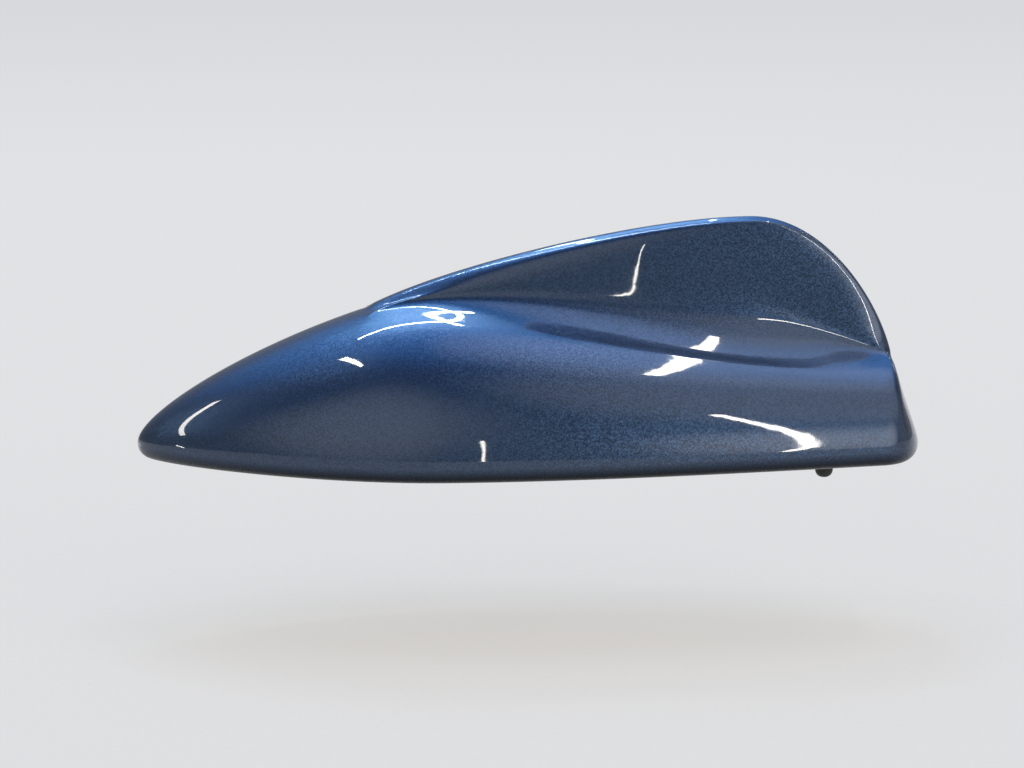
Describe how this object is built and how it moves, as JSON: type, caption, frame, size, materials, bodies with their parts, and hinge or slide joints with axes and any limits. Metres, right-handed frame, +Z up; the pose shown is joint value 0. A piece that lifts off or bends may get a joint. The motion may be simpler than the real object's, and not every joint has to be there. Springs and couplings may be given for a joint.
{
  "type": "shark fin aerial",
  "caption": "Car roof aerial: a painted fin-shaped cover on a base plate with seals, circuit boards, aerial elements and lead sockets, bolted through the roof.",
  "frame": {"origin": "on the roof surface, on the axis of the thread that takes the roof bolt", "axes": "+Z up from the roof, -X towards the nose, +Y across"},
  "size_m": [0.165, 0.0664, 0.0562],
  "materials": {
    "cover_paint": "moulded plastic, metallic blue paint under clear coat",
    "seal_rubber": "matt black rubber",
    "base_casting": "black glass-filled moulding",
    "gasket_rubber": "matt black rubber",
    "insert_brass": "turned",
    "board_laminate": "green circuit board",
    "patch_ceramic": "fired ceramic",
    "pin_metal": "plated",
    "can_metal": "tinned sheet",
    "clip_metal": "spring sheet",
    "former_plastic": "natural moulding",
    "winding_copper": "enamelled wire",
    "aerial_sheet": "bent sheet",
    "socket_plastic": "black moulding",
    "shell_metal": "plated",
    "screw_steel": "zinc plated"
  },
  "bodies": {
    "root": {"cover": "cover_paint", "rim_seal": "seal_rubber", "base_plate": "base_casting", "roof_gasket": "gasket_rubber", "threaded_insert": "insert_brass", "main_board": "board_laminate", "patch_antenna": "patch_ceramic", "patch_pin": "pin_metal", "shield_can": "can_metal", "fin_board": "board_laminate", "fin_board_clips": "clip_metal", "coil_former": "former_plastic", "coil_winding": "winding_copper", "rear_antenna": "aerial_sheet", "front_socket": "socket_plastic", "rear_socket": "socket_plastic", "socket_shells": "shell_metal", "socket_pins": "pin_metal", "cover_screws": "screw_steel", "board_screws": "screw_steel"}
  },
  "joints": []
}
